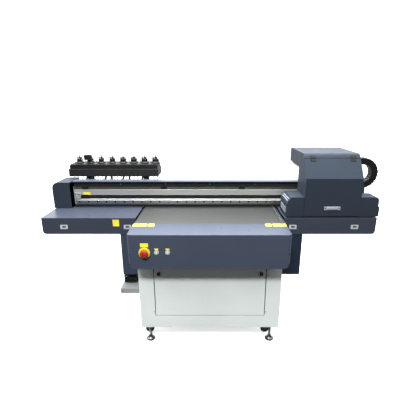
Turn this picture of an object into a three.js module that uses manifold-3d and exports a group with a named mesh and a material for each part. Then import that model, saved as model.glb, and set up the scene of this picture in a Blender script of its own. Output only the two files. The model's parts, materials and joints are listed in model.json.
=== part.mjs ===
// Flatbed UV printer with a moving gantry, in millimetres, +Z up, +X to the right, +Y to the rear.
// A fixed vacuum table stands on a cabinet. A gantry runs front to back over it on two rails. Its beam
// can be raised, and carries the print carriage, which is parked over the right wing.
import * as THREE from 'three';
import { mergeVertices } from 'three/addons/utils/BufferGeometryUtils.js';
import Module from 'manifold-3d';

const wasm = await Module();
wasm.setup();

// ---- driving dimensions ------------------------------------------------------------------------
const GAP = 0.3; // left between pieces that touch
const SHEET = 3; // folded steel sheet
const TABLE_Z = 806; // height of the table, fascia and wing tops

const CABINET = { halfX: 432, y: [150, 1180], z: [132, 600], wall: 4 };
const PLATE = { x: 190, y: 215, z: 8 }; // corner plates that hold the feet and casters
const PANEL = { halfX: 336, z: [212, 588], depth: 15 };
const FASCIA = { x: [-447, 441], y: [0, 180], z: [606, TABLE_Z], round: 28, drop: 42 };
const TABLE = { halfX: 444, y: [182, 1162], thick: 40 };
const FOOT = { x: 388, y: 204, r: 27 };
const CASTER = { x: 385, y: 272, trail: 18, r: 28, width: 24, z: 34 };
const RAIL_Y = { x: 400, width: 20, y: [225, 1108], z: [600, 622] };
const SCREW = { z: 628, r: 10, y: [226, 1104] };

const ESTOP = { x: -354, z: 703, head: 22, collar: 31, stem: 11 };
const BUTTON = { x: [-289, -229], z: 705, r: 9 };
const LATCH = { x: 304, z: 498, r: 11 };

const WING = { x: { left: [457, 1038], right: [457, 1025] }, y: [288, 830], z: [700, TABLE_Z], round: 24 };
const SIDE = { x: { left: [459, 561], right: [459, 578] }, y: [293, 825], z: [420, 699.5] };
const CAP_BAY = { x: [630, 870], y: [310, 480] };

const BEAM = { halfX: 918, y: [534, 640], z: [822, 948], slot: [868, 883], slotY: 560 };
const COVER_TOP = { y: [528, 598], z: [978, 984] };
const END_CAP = {
  x: { left: [929, 1046], right: [921, 1025] }, y: { left: [500, 680], right: [500, 655] }, z: [806.5, 982], round: 46,
};
const RAIL_X = { y: [520, 534], z: [834, 856], halfX: 905 };
const RACK = { x: [-1027, -377], y: [748, 918], z: [973, 1028] };
const TANKS = 8;

const CAR = { x: [573, 915], front: 293, rear: 485, bottom: 812, over: 732, overZ: 1095, top: 1186 };
const CREASE_Z = 1049; // where the door's upright front turns into its slope
const SLOPE = new THREE.Vector2(99, 137).normalize();
const SEAM_Z = 1159; // hinge line of the door
const LAMP = {
  left: { x: [466, 572.5], y: [293, 474] }, right: { x: [915.5, 1025], y: [293, 400] }, top: 936, round: 24,
};

const XCHAIN = { y: [664, 724], high: 45, outer: 107, x: 1073, z: 1012, fixed: 0, bracket: 600 };
const YCHAIN = { x: [-566, -486], high: 24, outer: 42, y: 362, z: 373.5, fixed: 760, bracket: 560 };
const TRAY = { x: [-580, -432.3], y: [268, 1150], z: [297, 331.2] };

const BOX_X = [-END_CAP.x.left[1], XCHAIN.x + XCHAIN.outer];
const BOX_Y = [-30, CABINET.y[1]];

// ---- helpers -----------------------------------------------------------------------------------
const machine = new THREE.Group();
machine.position.set(-(BOX_X[0] + BOX_X[1]) / 2, -(BOX_Y[0] + BOX_Y[1]) / 2, 0);

function material(color, roughness, metalness) {
  return () => new THREE.MeshStandardMaterial({ color, roughness, metalness });
}
const slate = material(0x434c5f, 0.45, 0.3);
const darkSlate = material(0x1f2733, 0.5, 0.3);
const paleGrey = material(0xcfd6d4, 0.5, 0.1);
const anodised = material(0x7a7f78, 0.4, 0.6);
const aluminium = material(0xb5b5b2, 0.3, 0.9);
const steel = material(0xc8c9cc, 0.2, 1.0);
const black = material(0x0d0d0f, 0.6, 0.0);
const charcoal = material(0x26272b, 0.6, 0.1);
const rubber = material(0x1b1c1e, 0.8, 0.0);
const yellow = material(0xe8e04b, 0.5, 0.0);
const red = material(0xb52620, 0.4, 0.0);

function add(name, finish, geometry, parent = machine) {
  const mesh = new THREE.Mesh(geometry, finish());
  mesh.name = name;
  parent.add(mesh);
  return mesh;
}

function block(x, y, z) {
  const geometry = new THREE.BoxGeometry(x[1] - x[0], y[1] - y[0], z[1] - z[0]);
  return geometry.translate((x[0] + x[1]) / 2, (y[0] + y[1]) / 2, (z[0] + z[1]) / 2);
}

function outline(points) {
  return new THREE.Shape(points.map(([a, b]) => new THREE.Vector2(a, b)));
}

function extrude(shape, length, curveSegments = 5) {
  return new THREE.ExtrudeGeometry(shape, { depth: length, bevelEnabled: false, curveSegments });
}

// The shape's first axis is Y and its second is Z.
function extrudeX(shape, x) {
  const basis = new THREE.Matrix4().makeBasis(
    new THREE.Vector3(0, 1, 0), new THREE.Vector3(0, 0, 1), new THREE.Vector3(1, 0, 0));
  return extrude(shape, x[1] - x[0]).applyMatrix4(basis).translate(x[0], 0, 0);
}

// The shape's first axis is X and its second is Z.
function extrudeY(shape, y) {
  const basis = new THREE.Matrix4().makeBasis(
    new THREE.Vector3(1, 0, 0), new THREE.Vector3(0, 0, 1), new THREE.Vector3(0, -1, 0));
  return extrude(shape, y[1] - y[0]).applyMatrix4(basis).translate(0, y[1], 0);
}

function extrudeZ(shape, z) {
  return extrude(shape, z[1] - z[0]).translate(0, 0, z[0]);
}

function solid(geometry) {
  const bare = geometry.clone();
  bare.deleteAttribute('normal');
  bare.deleteAttribute('uv');
  const merged = mergeVertices(bare, 1e-3);
  return new wasm.Manifold(new wasm.Mesh({
    numProp: 3,
    vertProperties: new Float32Array(merged.attributes.position.array),
    triVerts: new Uint32Array(merged.index.array),
  }));
}

function toGeometry(manifold) {
  const { vertProperties, triVerts } = manifold.getMesh();
  const geometry = new THREE.BufferGeometry();
  geometry.setAttribute('position', new THREE.BufferAttribute(new Float32Array(vertProperties), 3));
  geometry.setIndex(new THREE.BufferAttribute(new Uint32Array(triVerts), 1));
  geometry.computeVertexNormals();
  return geometry;
}

function combine(base, { join = [], cut = [] }) {
  let result = solid(base);
  for (const piece of join) result = result.add(solid(piece));
  for (const piece of cut) result = result.subtract(solid(piece));
  return toGeometry(result);
}

function mirrorX(range, side) {
  return side > 0 ? range : [-range[1], -range[0]];
}

// A solid of revolution about a line along Z, or along Y when it is tipped over.
function turned(points, segments = 20) {
  const profile = points.map(([r, h]) => new THREE.Vector2(r, h));
  return new THREE.LatheGeometry(profile, segments).rotateX(Math.PI / 2);
}

function alongY(points, segments = 20) {
  const profile = points.map(([r, h]) => new THREE.Vector2(r, h));
  return new THREE.LatheGeometry(profile, segments);
}

function rod(radius, y, x, z, segments = 20) {
  return alongY([[0, y[0]], [radius, y[0]], [radius, y[1]], [0, y[1]]], segments).translate(x, 0, z);
}

// A rectangle in X and Z with its outer corners rounded. side is 1 for the right, -1 for the left.
function cornered(x, z, radius, side, where) {
  const shape = new THREE.Shape();
  const [inner, outer] = [x[0] * side, x[1] * side];
  const top = where === 'top' ? radius : 0;
  const bottom = where === 'bottom' ? radius : 0;
  shape.moveTo(inner, z[0]);
  shape.lineTo(outer - side * bottom, z[0]);
  if (bottom) shape.quadraticCurveTo(outer, z[0], outer, z[0] + bottom);
  shape.lineTo(outer, z[1] - top);
  if (top) shape.quadraticCurveTo(outer, z[1], outer - side * top, z[1]);
  shape.lineTo(inner, z[1]);
  shape.closePath();
  return shape;
}

// Half of a ring, which opens towards -X (or -Y) of its plane.
function halfRing(outer, inner, a, b, facing) {
  const shape = new THREE.Shape();
  const start = facing > 0 ? -Math.PI / 2 : Math.PI / 2;
  shape.absarc(a, b, outer, start, start + Math.PI, false);
  shape.absarc(a, b, inner, start + Math.PI, start, true);
  shape.closePath();
  return shape;
}

// ---- cabinet and base --------------------------------------------------------------------------
function addCabinet() {
  const { halfX, y, z, wall } = CABINET;
  const plates = [];
  for (const side of [-1, 1]) {
    for (const edge of [[y[0], y[0] + PLATE.y], [y[1] - PLATE.y, y[1]]]) {
      plates.push(block(mirrorX([halfX - PLATE.x, halfX], side), edge, [z[0] - PLATE.z, z[0] + 1]));
    }
  }
  const inside = block([-halfX + wall, halfX - wall], [y[0] + wall, y[1] + 10], [z[0] + wall, z[1] - wall]);
  const doorway = block(
    [-PANEL.halfX - 4.5, PANEL.halfX + 4.5], [y[0] - 10, y[0] + 10], [PANEL.z[0] - 4, PANEL.z[1] + 4]);
  const shell = combine(block([-halfX, halfX], y, z), { join: plates, cut: [inside, doorway] });
  add('cabinet_shell', paleGrey, shell);

  const inset = wall + 0.5;
  add('cabinet_back_panel', paleGrey, block(
    [-halfX + inset, halfX - inset], [y[1] - SHEET, y[1]], [z[0] + inset, z[1] - inset]));

  const panelY = [y[0], y[0] + PANEL.depth];
  const tray = block(
    [-PANEL.halfX + SHEET, PANEL.halfX - SHEET], [y[0] + SHEET, y[0] + 40], [PANEL.z[0] + SHEET, PANEL.z[1] - SHEET]);
  const holes = [-1, 1].map((side) => rod(LATCH.r - 2.5, [y[0] - 5, y[0] + 8], side * LATCH.x, LATCH.z));
  add('front_panel', paleGrey, combine(
    block([-PANEL.halfX, PANEL.halfX], panelY, PANEL.z), { cut: [tray, ...holes] }));

  for (const [name, side] of [['left', -1], ['right', 1]]) {
    const knob = alongY([
      [0, -4], [LATCH.r - 1.5, -4], [LATCH.r, -2.5], [LATCH.r, -GAP], [LATCH.r - 3.2, -GAP],
      [LATCH.r - 3.2, 8], [0, 8]]);
    const cam = block([-8, 22], [7, 10], [-6, 6]);
    const latch = add(`panel_latch_${name}`, black, combine(knob, { join: [cam] }));
    latch.position.set(side * LATCH.x, y[0], LATCH.z);
    if (side < 0) latch.rotation.y = Math.PI;
  }
}

function addFoot(name, x, y) {
  const top = CABINET.z[0] - PLATE.z - GAP;
  const profile = [
    [0, 0], [FOOT.r, 0], [FOOT.r, 7], [FOOT.r - 4, 11], [15, 17], [11, 34], [8, 36], [8, top - 22],
    [21, top - 22], [21, top - 12], [12, top - 8], [12, top], [0, top]];
  const foot = add(`levelling_foot_${name}`, steel, turned(profile, 18));
  foot.position.set(x, y, 0);
}

function addCaster(name, x, y) {
  const { trail, r, width, z } = CASTER;
  const top = CABINET.z[0] - PLATE.z - GAP;
  const head = turned([[0, top - 14], [22, top - 14], [26, top - 9], [26, top - 2], [22, top], [0, top]], 16);
  const cheeks = [-1, 1].map((side) => {
    const cheek = outline([[-22, top - 12], [18, top - 12], [-trail + 9, z - 9], [-trail - 9, z - 9], [-trail - 12, z]]);
    const y0 = side > 0 ? width / 2 + 1 : -width / 2 - 4;
    return extrudeY(cheek, [y0, y0 + 3]);
  });
  const axle = rod(4, [-width / 2 - 6, width / 2 + 6], -trail, z, 12);
  const swivel = new THREE.Group();
  swivel.position.set(x, y, 0);
  machine.add(swivel);
  add(`caster_fork_${name}`, steel, combine(head, { join: [...cheeks, axle] }), swivel);
  const half = width / 2;
  const tread = alongY([
    [4.4, -half], [r - 3, -half], [r, -half + 3], [r, half - 3], [r - 3, half], [4.4, half], [4.4, -half]], 24);
  const wheel = add(`caster_wheel_${name}`, rubber, tread, swivel);
  wheel.position.set(-trail, 0, z);
}

function addGroundSupports() {
  const depth = CABINET.y[0] + CABINET.y[1];
  for (const [sideName, side] of [['left', -1], ['right', 1]]) {
    addFoot(`front_${sideName}`, side * FOOT.x, FOOT.y);
    addFoot(`rear_${sideName}`, side * FOOT.x, depth - FOOT.y);
    addCaster(`front_${sideName}`, side * CASTER.x, CASTER.y);
    addCaster(`rear_${sideName}`, side * CASTER.x, depth - CASTER.y);
  }
}

function addFascia() {
  const { x: [left, right], y, z, round, drop } = FASCIA;
  const plan = new THREE.Shape();
  plan.moveTo(left, y[1]);
  plan.lineTo(left, y[0] + round);
  plan.quadraticCurveTo(left, y[0], left + round, y[0]);
  plan.lineTo(right - round, y[0]);
  plan.quadraticCurveTo(right, y[0], right, y[0] + round);
  plan.lineTo(right, y[1]);
  plan.closePath();
  const front = new THREE.Shape();
  front.moveTo(left, z[1]);
  front.lineTo(left, z[0] + drop);
  front.quadraticCurveTo(left, z[0], left + drop, z[0]);
  front.lineTo(right - drop, z[0]);
  front.quadraticCurveTo(right, z[0], right, z[0] + drop);
  front.lineTo(right, z[1]);
  front.closePath();
  const outer = solid(extrudeZ(plan, z)).intersect(solid(extrudeY(front, y)));
  const inner = block([left + 27, right - 27], [y[0] + SHEET, y[1] + 5], [z[0] + SHEET, z[1] - SHEET]);
  const ends = block([left + 8, right - 8], [y[0] + 9, y[1] + 5], [z[0] + 15, z[1] - SHEET]);
  let shell = outer.subtract(solid(inner)).subtract(solid(ends));
  shell = shell.subtract(solid(rod(ESTOP.stem + 1.5, [-5, 15], ESTOP.x, ESTOP.z)));
  for (const x of BUTTON.x) {
    shell = shell.subtract(solid(rod(BUTTON.r + 0.6, [-5, 15], x, BUTTON.z)));
  }
  add('front_fascia', slate, toGeometry(shell));
}

function addControls() {
  const ring = alongY([
    [ESTOP.stem + 1.5, -9], [ESTOP.collar - 3, -9], [ESTOP.collar, -6], [ESTOP.collar, -GAP],
    [ESTOP.stem + 1.5, -GAP], [ESTOP.stem + 1.5, -9]], 28);
  add('estop_collar', yellow, ring).position.set(ESTOP.x, 0, ESTOP.z);
  const head = alongY([
    [0, -30], [10, -29.3], [18, -26], [ESTOP.head, -21], [ESTOP.head, -17], [ESTOP.stem + 4, -13.6],
    [ESTOP.stem, -13.6], [ESTOP.stem, 22], [0, 22]], 28);
  add('estop_head', red, head).position.set(ESTOP.x, 0, ESTOP.z);
  for (const [name, x] of [['left', BUTTON.x[0]], ['right', BUTTON.x[1]]]) {
    const cap = alongY([[0, -6], [BUTTON.r - 1, -6], [BUTTON.r, -5], [BUTTON.r, 14], [0, 14]], 20);
    add(`push_button_${name}`, steel, cap).position.set(x, 0, BUTTON.z);
  }
}

function addTable() {
  const { halfX, y, thick } = TABLE;
  add('vacuum_table', anodised, block([-halfX, halfX], y, [TABLE_Z - thick, TABLE_Z]));

  const frameZ = [700, TABLE_Z - thick - GAP];
  const frameY = [FASCIA.y[1] + GAP, y[1] + 8];
  const pockets = [];
  const legs = [];
  for (const side of [-1, 1]) {
    pockets.push(block(mirrorX([30, 390], side), [frameY[0] + 50, 650], [650, 800]));
    pockets.push(block(mirrorX([30, 390], side), [700, frameY[1] - 50], [650, 800]));
    for (const leg of [[frameY[0], 222], [1112, frameY[1]]]) {
      legs.push(block(mirrorX([330, 425], side), leg, [CABINET.z[1] + GAP, 702]));
    }
  }
  add('table_frame', darkSlate, combine(block([-430, 430], frameY, frameZ), { join: legs, cut: pockets }));

  const half = RAIL_Y.width / 2;
  for (const [name, side] of [['left', -1], ['right', 1]]) {
    const across = [side * RAIL_Y.x - half, side * RAIL_Y.x + half];
    add(`y_guide_rail_${name}`, steel, block(across, RAIL_Y.y, [RAIL_Y.z[0] + GAP, RAIL_Y.z[1]]));
  }
  add('y_ball_screw', steel, rod(SCREW.r, SCREW.y, 0, SCREW.z, 16));
  const motor = block([-43, 43], [SCREW.y[1] + GAP, 1176], [CABINET.z[1] + GAP, 680]);
  add('y_drive_motor', black, motor);
}

function addInternals() {
  const floor = CABINET.z[0] + CABINET.wall + GAP;
  add('control_box', paleGrey, block([-390, -70], [980, 1160], [floor, 500]));
  const volute = rod(105, [930, 1090], 210, 260, 24);
  const outlet = block([210, 315], [960, 1060], [258, 420]);
  const plinth = block([120, 300], [940, 1080], [floor, 200]);
  add('vacuum_blower', charcoal, combine(volute, { join: [outlet, plinth] }));
}

function addChainTray() {
  const { x, y, z } = TRAY;
  const section = outline([
    [x[0], z[0]], [x[0], z[1]], [x[1], z[1]], [x[1], z[0]], [x[1] - SHEET, z[0]],
    [x[1] - SHEET, z[1] - SHEET], [x[0] + SHEET, z[1] - SHEET], [x[0] + SHEET, z[0]]]);
  const lip = block([x[0], x[1]], [y[0], y[0] + SHEET], z);
  add('y_chain_tray', paleGrey, combine(extrudeY(section, y), { join: [lip] }));
}

// ---- energy chains -----------------------------------------------------------------------------
function addYChain() {
  const { x, high, outer, y, z, fixed, bracket } = YCHAIN;
  const inner = outer - high;
  add('y_chain_loop', black, extrudeX(halfRing(outer, inner, y, z, -1), x));
  add('y_chain_lower_run', black, block(x, [y + GAP, fixed], [z - outer, z - inner]));
  add('y_chain_upper_run', black, block(x, [y + GAP, bracket], [z + inner, z + outer]));
}

function addXChain() {
  const { y, high, outer, x, z, fixed, bracket } = XCHAIN;
  const inner = outer - high;
  add('x_chain_loop', black, extrudeY(halfRing(outer, inner, x, z, 1), y));
  add('x_chain_lower_run', black, block([fixed, x - GAP], y, [z - outer, z - inner]));
  add('x_chain_upper_run', black, block([bracket, x - GAP], y, [z + inner, z + outer]));
  const floor = z - outer - GAP;
  const [near, far] = [y[0] - 4, y[1] + 4];
  const section = outline([
    [BEAM.y[1] + GAP, floor - SHEET], [far, floor - SHEET], [far, floor + 35], [far - 2, floor + 35],
    [far - 2, floor], [near + 2, floor], [near + 2, floor + 35], [near, floor + 35], [near, floor],
    [BEAM.y[1] + GAP, floor]]);
  add('x_chain_trough', aluminium, extrudeX(section, [fixed - 40, BEAM.halfX]));
}

// ---- gantry ------------------------------------------------------------------------------------
function addGantryFrame() {
  const low = 640;
  const top = WING.z[0] - 0.5;
  const parts = [];
  for (const y of [[380, 430], [590, 640]]) {
    parts.push(block([-556, 556], y, [low, 690]));
    for (const side of [-1, 1]) {
      const slider = block(mirrorX([RAIL_Y.x - 22, RAIL_Y.x + 22], side), y, [606, low + 1]);
      const slot = block(
        mirrorX([RAIL_Y.x - RAIL_Y.width / 2 - 0.5, RAIL_Y.x + RAIL_Y.width / 2 + 0.5], side),
        [y[0] - 5, y[1] + 5], [590, RAIL_Y.z[1] + 0.5]);
      parts.push(toGeometry(solid(slider).subtract(solid(slot))));
    }
  }
  for (const side of [-1, 1]) {
    parts.push(block(mirrorX([480, 556], side), [310, 810], [low, top]));
  }
  const nut = toGeometry(solid(block([-30, 30], [382, 428], [606, low + 1]))
    .subtract(solid(rod(SCREW.r + 1.5, [370, 440], 0, SCREW.z))));
  const bracketX = [YCHAIN.x[0] + 14, YCHAIN.x[1] - 4];
  const hanger = block(bracketX, [YCHAIN.bracket + GAP, YCHAIN.bracket + 6], [YCHAIN.z + 20, low + 1]);
  const [first, ...rest] = parts;
  add('gantry_frame', darkSlate, combine(first, { join: [...rest, nut, hanger] }));
}

function addWings() {
  const { y, z, round } = WING;
  for (const [name, side] of [['left', -1], ['right', 1]]) {
    const x = WING.x[name];
    const outer = extrudeY(cornered(x, z, round, side, 'bottom'), y);
    const cavityX = mirrorX([x[0] - 5, x[1] - round * 0.35], side);
    const cut = [block(cavityX, [y[0] + SHEET, y[1] - SHEET], [z[0] + SHEET, z[1] - SHEET])];
    if (side > 0) cut.push(block(CAP_BAY.x, CAP_BAY.y, [z[1] - 20, z[1] + 5]));
    add(`wing_${name}`, slate, combine(outer, { cut }));

    const [near, far] = SIDE.x[name];
    const open = mirrorX([near - 5, far - SHEET], side);
    const hollow = block(open, [SIDE.y[0] + SHEET, SIDE.y[1] - SHEET], [SIDE.z[0] - 5, SIDE.z[1] + 5]);
    add(`side_cover_${name}`, darkSlate, combine(block(mirrorX([near, far], side), SIDE.y, SIDE.z), { cut: [hollow] }));

    const column = mirrorX([950, 1000], side);
    add(`lift_column_${name}`, steel, block(column, [555, 605], [z[1] + GAP, 960]));
  }
  const well = [CAP_BAY.x[0] + 10, CAP_BAY.x[1] - 10];
  const wellY = [CAP_BAY.y[0] + 8, CAP_BAY.y[1] - 8];
  const caps = [0, 1, 2].map((i) => {
    const x0 = well[0] + 18 + i * 68;
    return block([x0, x0 + 48], [wellY[0] + 20, wellY[1] - 20], [788, 799]);
  });
  const cups = [0, 1, 2].map((i) => {
    const x0 = well[0] + 22 + i * 68;
    return block([x0, x0 + 40], [wellY[0] + 24, wellY[1] - 24], [792, 810]);
  });
  add('capping_station', charcoal, combine(block(well, wellY, [725, 789]), { join: caps, cut: cups }));
}

// ---- beam --------------------------------------------------------------------------------------
function addBeam() {
  const { halfX, y, z, slot, slotY } = BEAM;
  const section = outline([
    [y[0], z[0]], [y[0], slot[0]], [slotY, slot[0]], [slotY, slot[1]], [y[0], slot[1]], [y[0], z[1]],
    [y[1], z[1]], [y[1], z[0]]]);
  section.holes.push(outline([[568, 830], [632, 830], [632, 940], [568, 940]]));
  add('beam', aluminium, extrudeX(section, [-halfX, halfX]));

  const cover = outline([
    [COVER_TOP.y[0], COVER_TOP.z[0]], [COVER_TOP.y[0], COVER_TOP.z[1]], [COVER_TOP.y[1], COVER_TOP.z[1]],
    [COVER_TOP.y[1], z[1] + GAP], [COVER_TOP.y[1] - 20, z[1] + GAP], [COVER_TOP.y[1] - 20, COVER_TOP.z[0]]]);
  add('beam_top_cover', slate, extrudeX(cover, [-halfX - 2, halfX + 2]));
  add('x_guide_rail', steel, block(
    [-RAIL_X.halfX, RAIL_X.halfX], [RAIL_X.y[0], RAIL_X.y[1] - GAP], RAIL_X.z));
  add('x_belt', rubber, block([-RAIL_X.halfX, RAIL_X.halfX], [537, 541], [slot[0] + 2, slot[1] - 2]));

  for (const [name, side] of [['left', -1], ['right', 1]]) {
    const { z: capZ, round } = END_CAP;
    const capY = END_CAP.y[name];
    const [inner, far] = END_CAP.x[name];
    const outer = extrudeY(cornered([inner, far], capZ, round, side, 'top'), capY);
    const cavity = block(
      mirrorX([inner - 5, far - round * 0.45], side), [capY[0] + SHEET, capY[1] - SHEET], [capZ[0] - 5, capZ[1] - 10]);
    add(`end_cap_${name}`, slate, combine(outer, { cut: [cavity] }));
  }
}

function addInkRack() {
  const { x, y, z } = RACK;
  const legs = [];
  for (const legX of [[-900, -870], [-490, -460]]) {
    legs.push(block(legX, [770, 800], [830, z[0] + 1]));
    legs.push(block(legX, [BEAM.y[1] + GAP, 800], [830, 850]));
  }
  add('ink_rack', charcoal, combine(block(x, y, z), { join: legs }));

  const ledge = block([x[0] + 8, x[1] - 8], [y[0] + 4, y[1] - 4], [z[1] + GAP, 1061]);
  const pitch = (x[1] - x[0] - 91) / (TANKS - 1);
  const necks = [];
  for (let i = 0; i < TANKS; i += 1) {
    const neck = turned([[0, 1055], [24, 1055], [24, 1080], [14, 1086], [7, 1090], [7, 1112], [0, 1112]], 12);
    necks.push(neck.translate(x[0] + 61 + i * pitch, (y[0] + y[1]) / 2, 0));
  }
  add('ink_tank_block', black, combine(ledge, { join: necks }));
}

// ---- carriage ----------------------------------------------------------------------------------
// Points of the door's outer line, set inwards by a distance.
function doorLine(inset) {
  const normal = new THREE.Vector2(SLOPE.y, -SLOPE.x);
  const t = (SEAM_Z - CREASE_Z) / SLOPE.y;
  const seam = [CAR.front + SLOPE.x * t + normal.x * inset, SEAM_Z + normal.y * inset];
  const creaseZ = CREASE_Z + inset * (normal.y + SLOPE.y * (1 - normal.x) / SLOPE.x);
  return [[CAR.front + inset, 815], [CAR.front + inset, creaseZ], seam];
}

function addCarriage() {
  const { x, rear, bottom, over, overZ, top } = CAR;
  const inner = doorLine(SHEET + 0.5);
  const seam = doorLine(-1)[2];
  const browZ = 1172;
  const brow = new THREE.Vector2(CAR.front + (browZ - CREASE_Z) * SLOPE.x / SLOPE.y, browZ);
  const corner = brow.x + (top - brow.y) * SLOPE.x / SLOPE.y;
  const side = new THREE.Shape();
  side.moveTo(inner[0][0], bottom);
  side.lineTo(...inner[1]);
  side.lineTo(...inner[2]);
  side.lineTo(doorLine(0)[2][0] + 1, SEAM_Z + 1.5);
  side.lineTo(brow.x, brow.y);
  side.quadraticCurveTo(corner, top, corner + 18, top);
  side.lineTo(over, top);
  side.lineTo(over, overZ);
  side.lineTo(rear, overZ);
  side.lineTo(rear, bottom);
  side.closePath();
  const hollow = new THREE.Shape();
  hollow.moveTo(seam[0] - 80, bottom - 20);
  hollow.lineTo(seam[0] - 80, SEAM_Z - 1.5);
  hollow.lineTo(inner[2][0], SEAM_Z - 1.5);
  hollow.lineTo(brow.x + 4, brow.y - 2);
  hollow.quadraticCurveTo(corner + 2, top - SHEET, corner + 20, top - SHEET);
  hollow.lineTo(over - SHEET, top - SHEET);
  hollow.lineTo(over - SHEET, bottom - 20);
  hollow.closePath();
  const chainSlot = block([x[1] - 10, x[1] + 5], [XCHAIN.y[0] - 2, XCHAIN.y[1] + 2], [overZ - 5, 1122]);
  add('carriage_cover', slate, combine(extrudeX(side, x), {
    cut: [extrudeX(hollow, [x[0] + SHEET, x[1] - SHEET]), chainSlot] }));

  const doorOutline = outline([...doorLine(0), ...doorLine(SHEET).reverse()]);
  add('carriage_door', slate, extrudeX(doorOutline, x));

  const plate = block([600, 900], [492, 512], [820, 1085]);
  const sliders = [[620, 700], [800, 880]].map((sx) => block(sx, [511, RAIL_X.y[0] - GAP], [830, 860]));
  const clamp = block([735, 765], [511, 536.5], [BEAM.slot[0] + 3, BEAM.slot[1] - 3]);
  const arm = block([585, XCHAIN.bracket - GAP], [500, XCHAIN.y[1]], [1076, 1084]);
  const foot = block([585, XCHAIN.bracket + 12], [500, 512], [1070, 1084]);
  const stop = block([585, XCHAIN.bracket - GAP], XCHAIN.y, [1076, 1117]);
  add('carriage_plate', aluminium, combine(plate, { join: [...sliders, clamp, foot, arm, stop] }));

  const heads = [];
  for (let i = 0; i < 3; i += 1) {
    for (let j = 0; j < 2; j += 1) {
      heads.push(block([625 + i * 92, 675 + i * 92], [325 + j * 75, 385 + j * 75], [bottom, 890]));
    }
  }
  const bed = block([600, 900], [302, 492 - GAP], [bottom + 6, bottom + 14]);
  add('print_heads', anodised, combine(bed, { join: heads }));
}

function addLampHousings() {
  const { left, right, top, round } = LAMP;
  const z = [CAR.bottom, top];
  const [a, b] = left.x;
  const chamfer = outline([[a, z[0]], [b, z[0]], [b, z[1]], [a + 25, z[1]], [a + 3, z[1] - 34], [a, z[1] - 46]]);
  const hollow = [[a + 12, b - SHEET], [left.y[0] + SHEET, left.y[1] - SHEET], [z[0] - 5, z[1] - 24]];
  add('lamp_housing_left', slate, combine(extrudeY(chamfer, left.y), { cut: [block(...hollow)] }));
  const [c, d] = right.x;
  const rounded = extrudeY(cornered([c, d], z, round, 1, 'top'), right.y);
  const cavity = block([c + SHEET, d - 9], [right.y[0] + SHEET, right.y[1] - SHEET], [z[0] - 5, z[1] - 9]);
  add('lamp_housing_right', slate, combine(rounded, { cut: [cavity] }));
}

addCabinet();
addGroundSupports();
addFascia();
addControls();
addTable();
addInternals();
addChainTray();
addYChain();
addXChain();
addGantryFrame();
addWings();
addBeam();
addInkRack();
addCarriage();
addLampHousings();

export default machine;
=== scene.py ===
import json
import math
import random

import bmesh
import bpy
from mathutils import Matrix, Vector


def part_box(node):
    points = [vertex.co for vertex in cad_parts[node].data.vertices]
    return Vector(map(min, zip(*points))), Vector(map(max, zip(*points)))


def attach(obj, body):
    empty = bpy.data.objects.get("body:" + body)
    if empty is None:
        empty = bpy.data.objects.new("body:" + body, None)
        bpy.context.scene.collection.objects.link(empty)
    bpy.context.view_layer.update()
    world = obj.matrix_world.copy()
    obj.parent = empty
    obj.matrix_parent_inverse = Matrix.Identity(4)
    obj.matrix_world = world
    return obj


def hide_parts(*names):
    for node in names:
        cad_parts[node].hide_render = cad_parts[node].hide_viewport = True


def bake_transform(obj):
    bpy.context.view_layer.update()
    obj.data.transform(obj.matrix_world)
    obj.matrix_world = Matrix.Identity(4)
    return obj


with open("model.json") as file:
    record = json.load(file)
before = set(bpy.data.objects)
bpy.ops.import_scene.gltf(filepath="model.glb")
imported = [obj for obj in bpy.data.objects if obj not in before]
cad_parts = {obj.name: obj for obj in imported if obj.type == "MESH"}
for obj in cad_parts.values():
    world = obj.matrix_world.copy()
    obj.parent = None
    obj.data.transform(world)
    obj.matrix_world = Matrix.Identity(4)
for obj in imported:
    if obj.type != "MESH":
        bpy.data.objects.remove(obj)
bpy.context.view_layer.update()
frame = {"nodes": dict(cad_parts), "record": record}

# ---- places ----
# Details are placed in millimetres from the machine's own datum: its centreline, the front face of
# the fascia and the floor. The frame gives that datum, so the details follow the CAD.
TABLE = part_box("vacuum_table")
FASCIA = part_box("front_fascia")
DATUM = Vector(((TABLE[0].x + TABLE[1].x) / 2, FASCIA[0].y, 0))


def span(node):
    """A node's box in datum millimetres, as ((x0, x1), (y0, y1), (z0, z1))."""
    low, high = ((corner - DATUM) * 1000 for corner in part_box(node))
    return tuple((low[i], high[i]) for i in range(3))


SIDES = (("left", -1), ("right", 1))


def middle(pair):
    return (pair[0] + pair[1]) / 2


def end_of(pair, side):
    """The end of a span that lies towards a side, -1 or 1."""
    return pair[0 if side < 0 else 1]


# ---- camera ----
CAMERA_BACK = 1.662  # from the fascia
CAMERA_UP = 1.45
CAMERA_TILT = 16.9  # degrees below the horizon
LENS = 28.7

camera_data = bpy.data.cameras.new("camera")
camera_data.lens = LENS
camera_data.sensor_width = 36
camera = bpy.data.objects.new("camera", camera_data)
bpy.context.scene.collection.objects.link(camera)
camera.location = (DATUM.x, DATUM.y - CAMERA_BACK, CAMERA_UP)
camera.rotation_euler = (math.radians(90 - CAMERA_TILT), 0, 0)
bpy.context.scene.camera = camera


# ---- materials ----
def srgb(r, g, b):
    def linear(c):
        c /= 255
        return c / 12.92 if c <= 0.04045 else ((c + 0.055) / 1.055) ** 2.4
    return (linear(r), linear(g), linear(b), 1)


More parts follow.
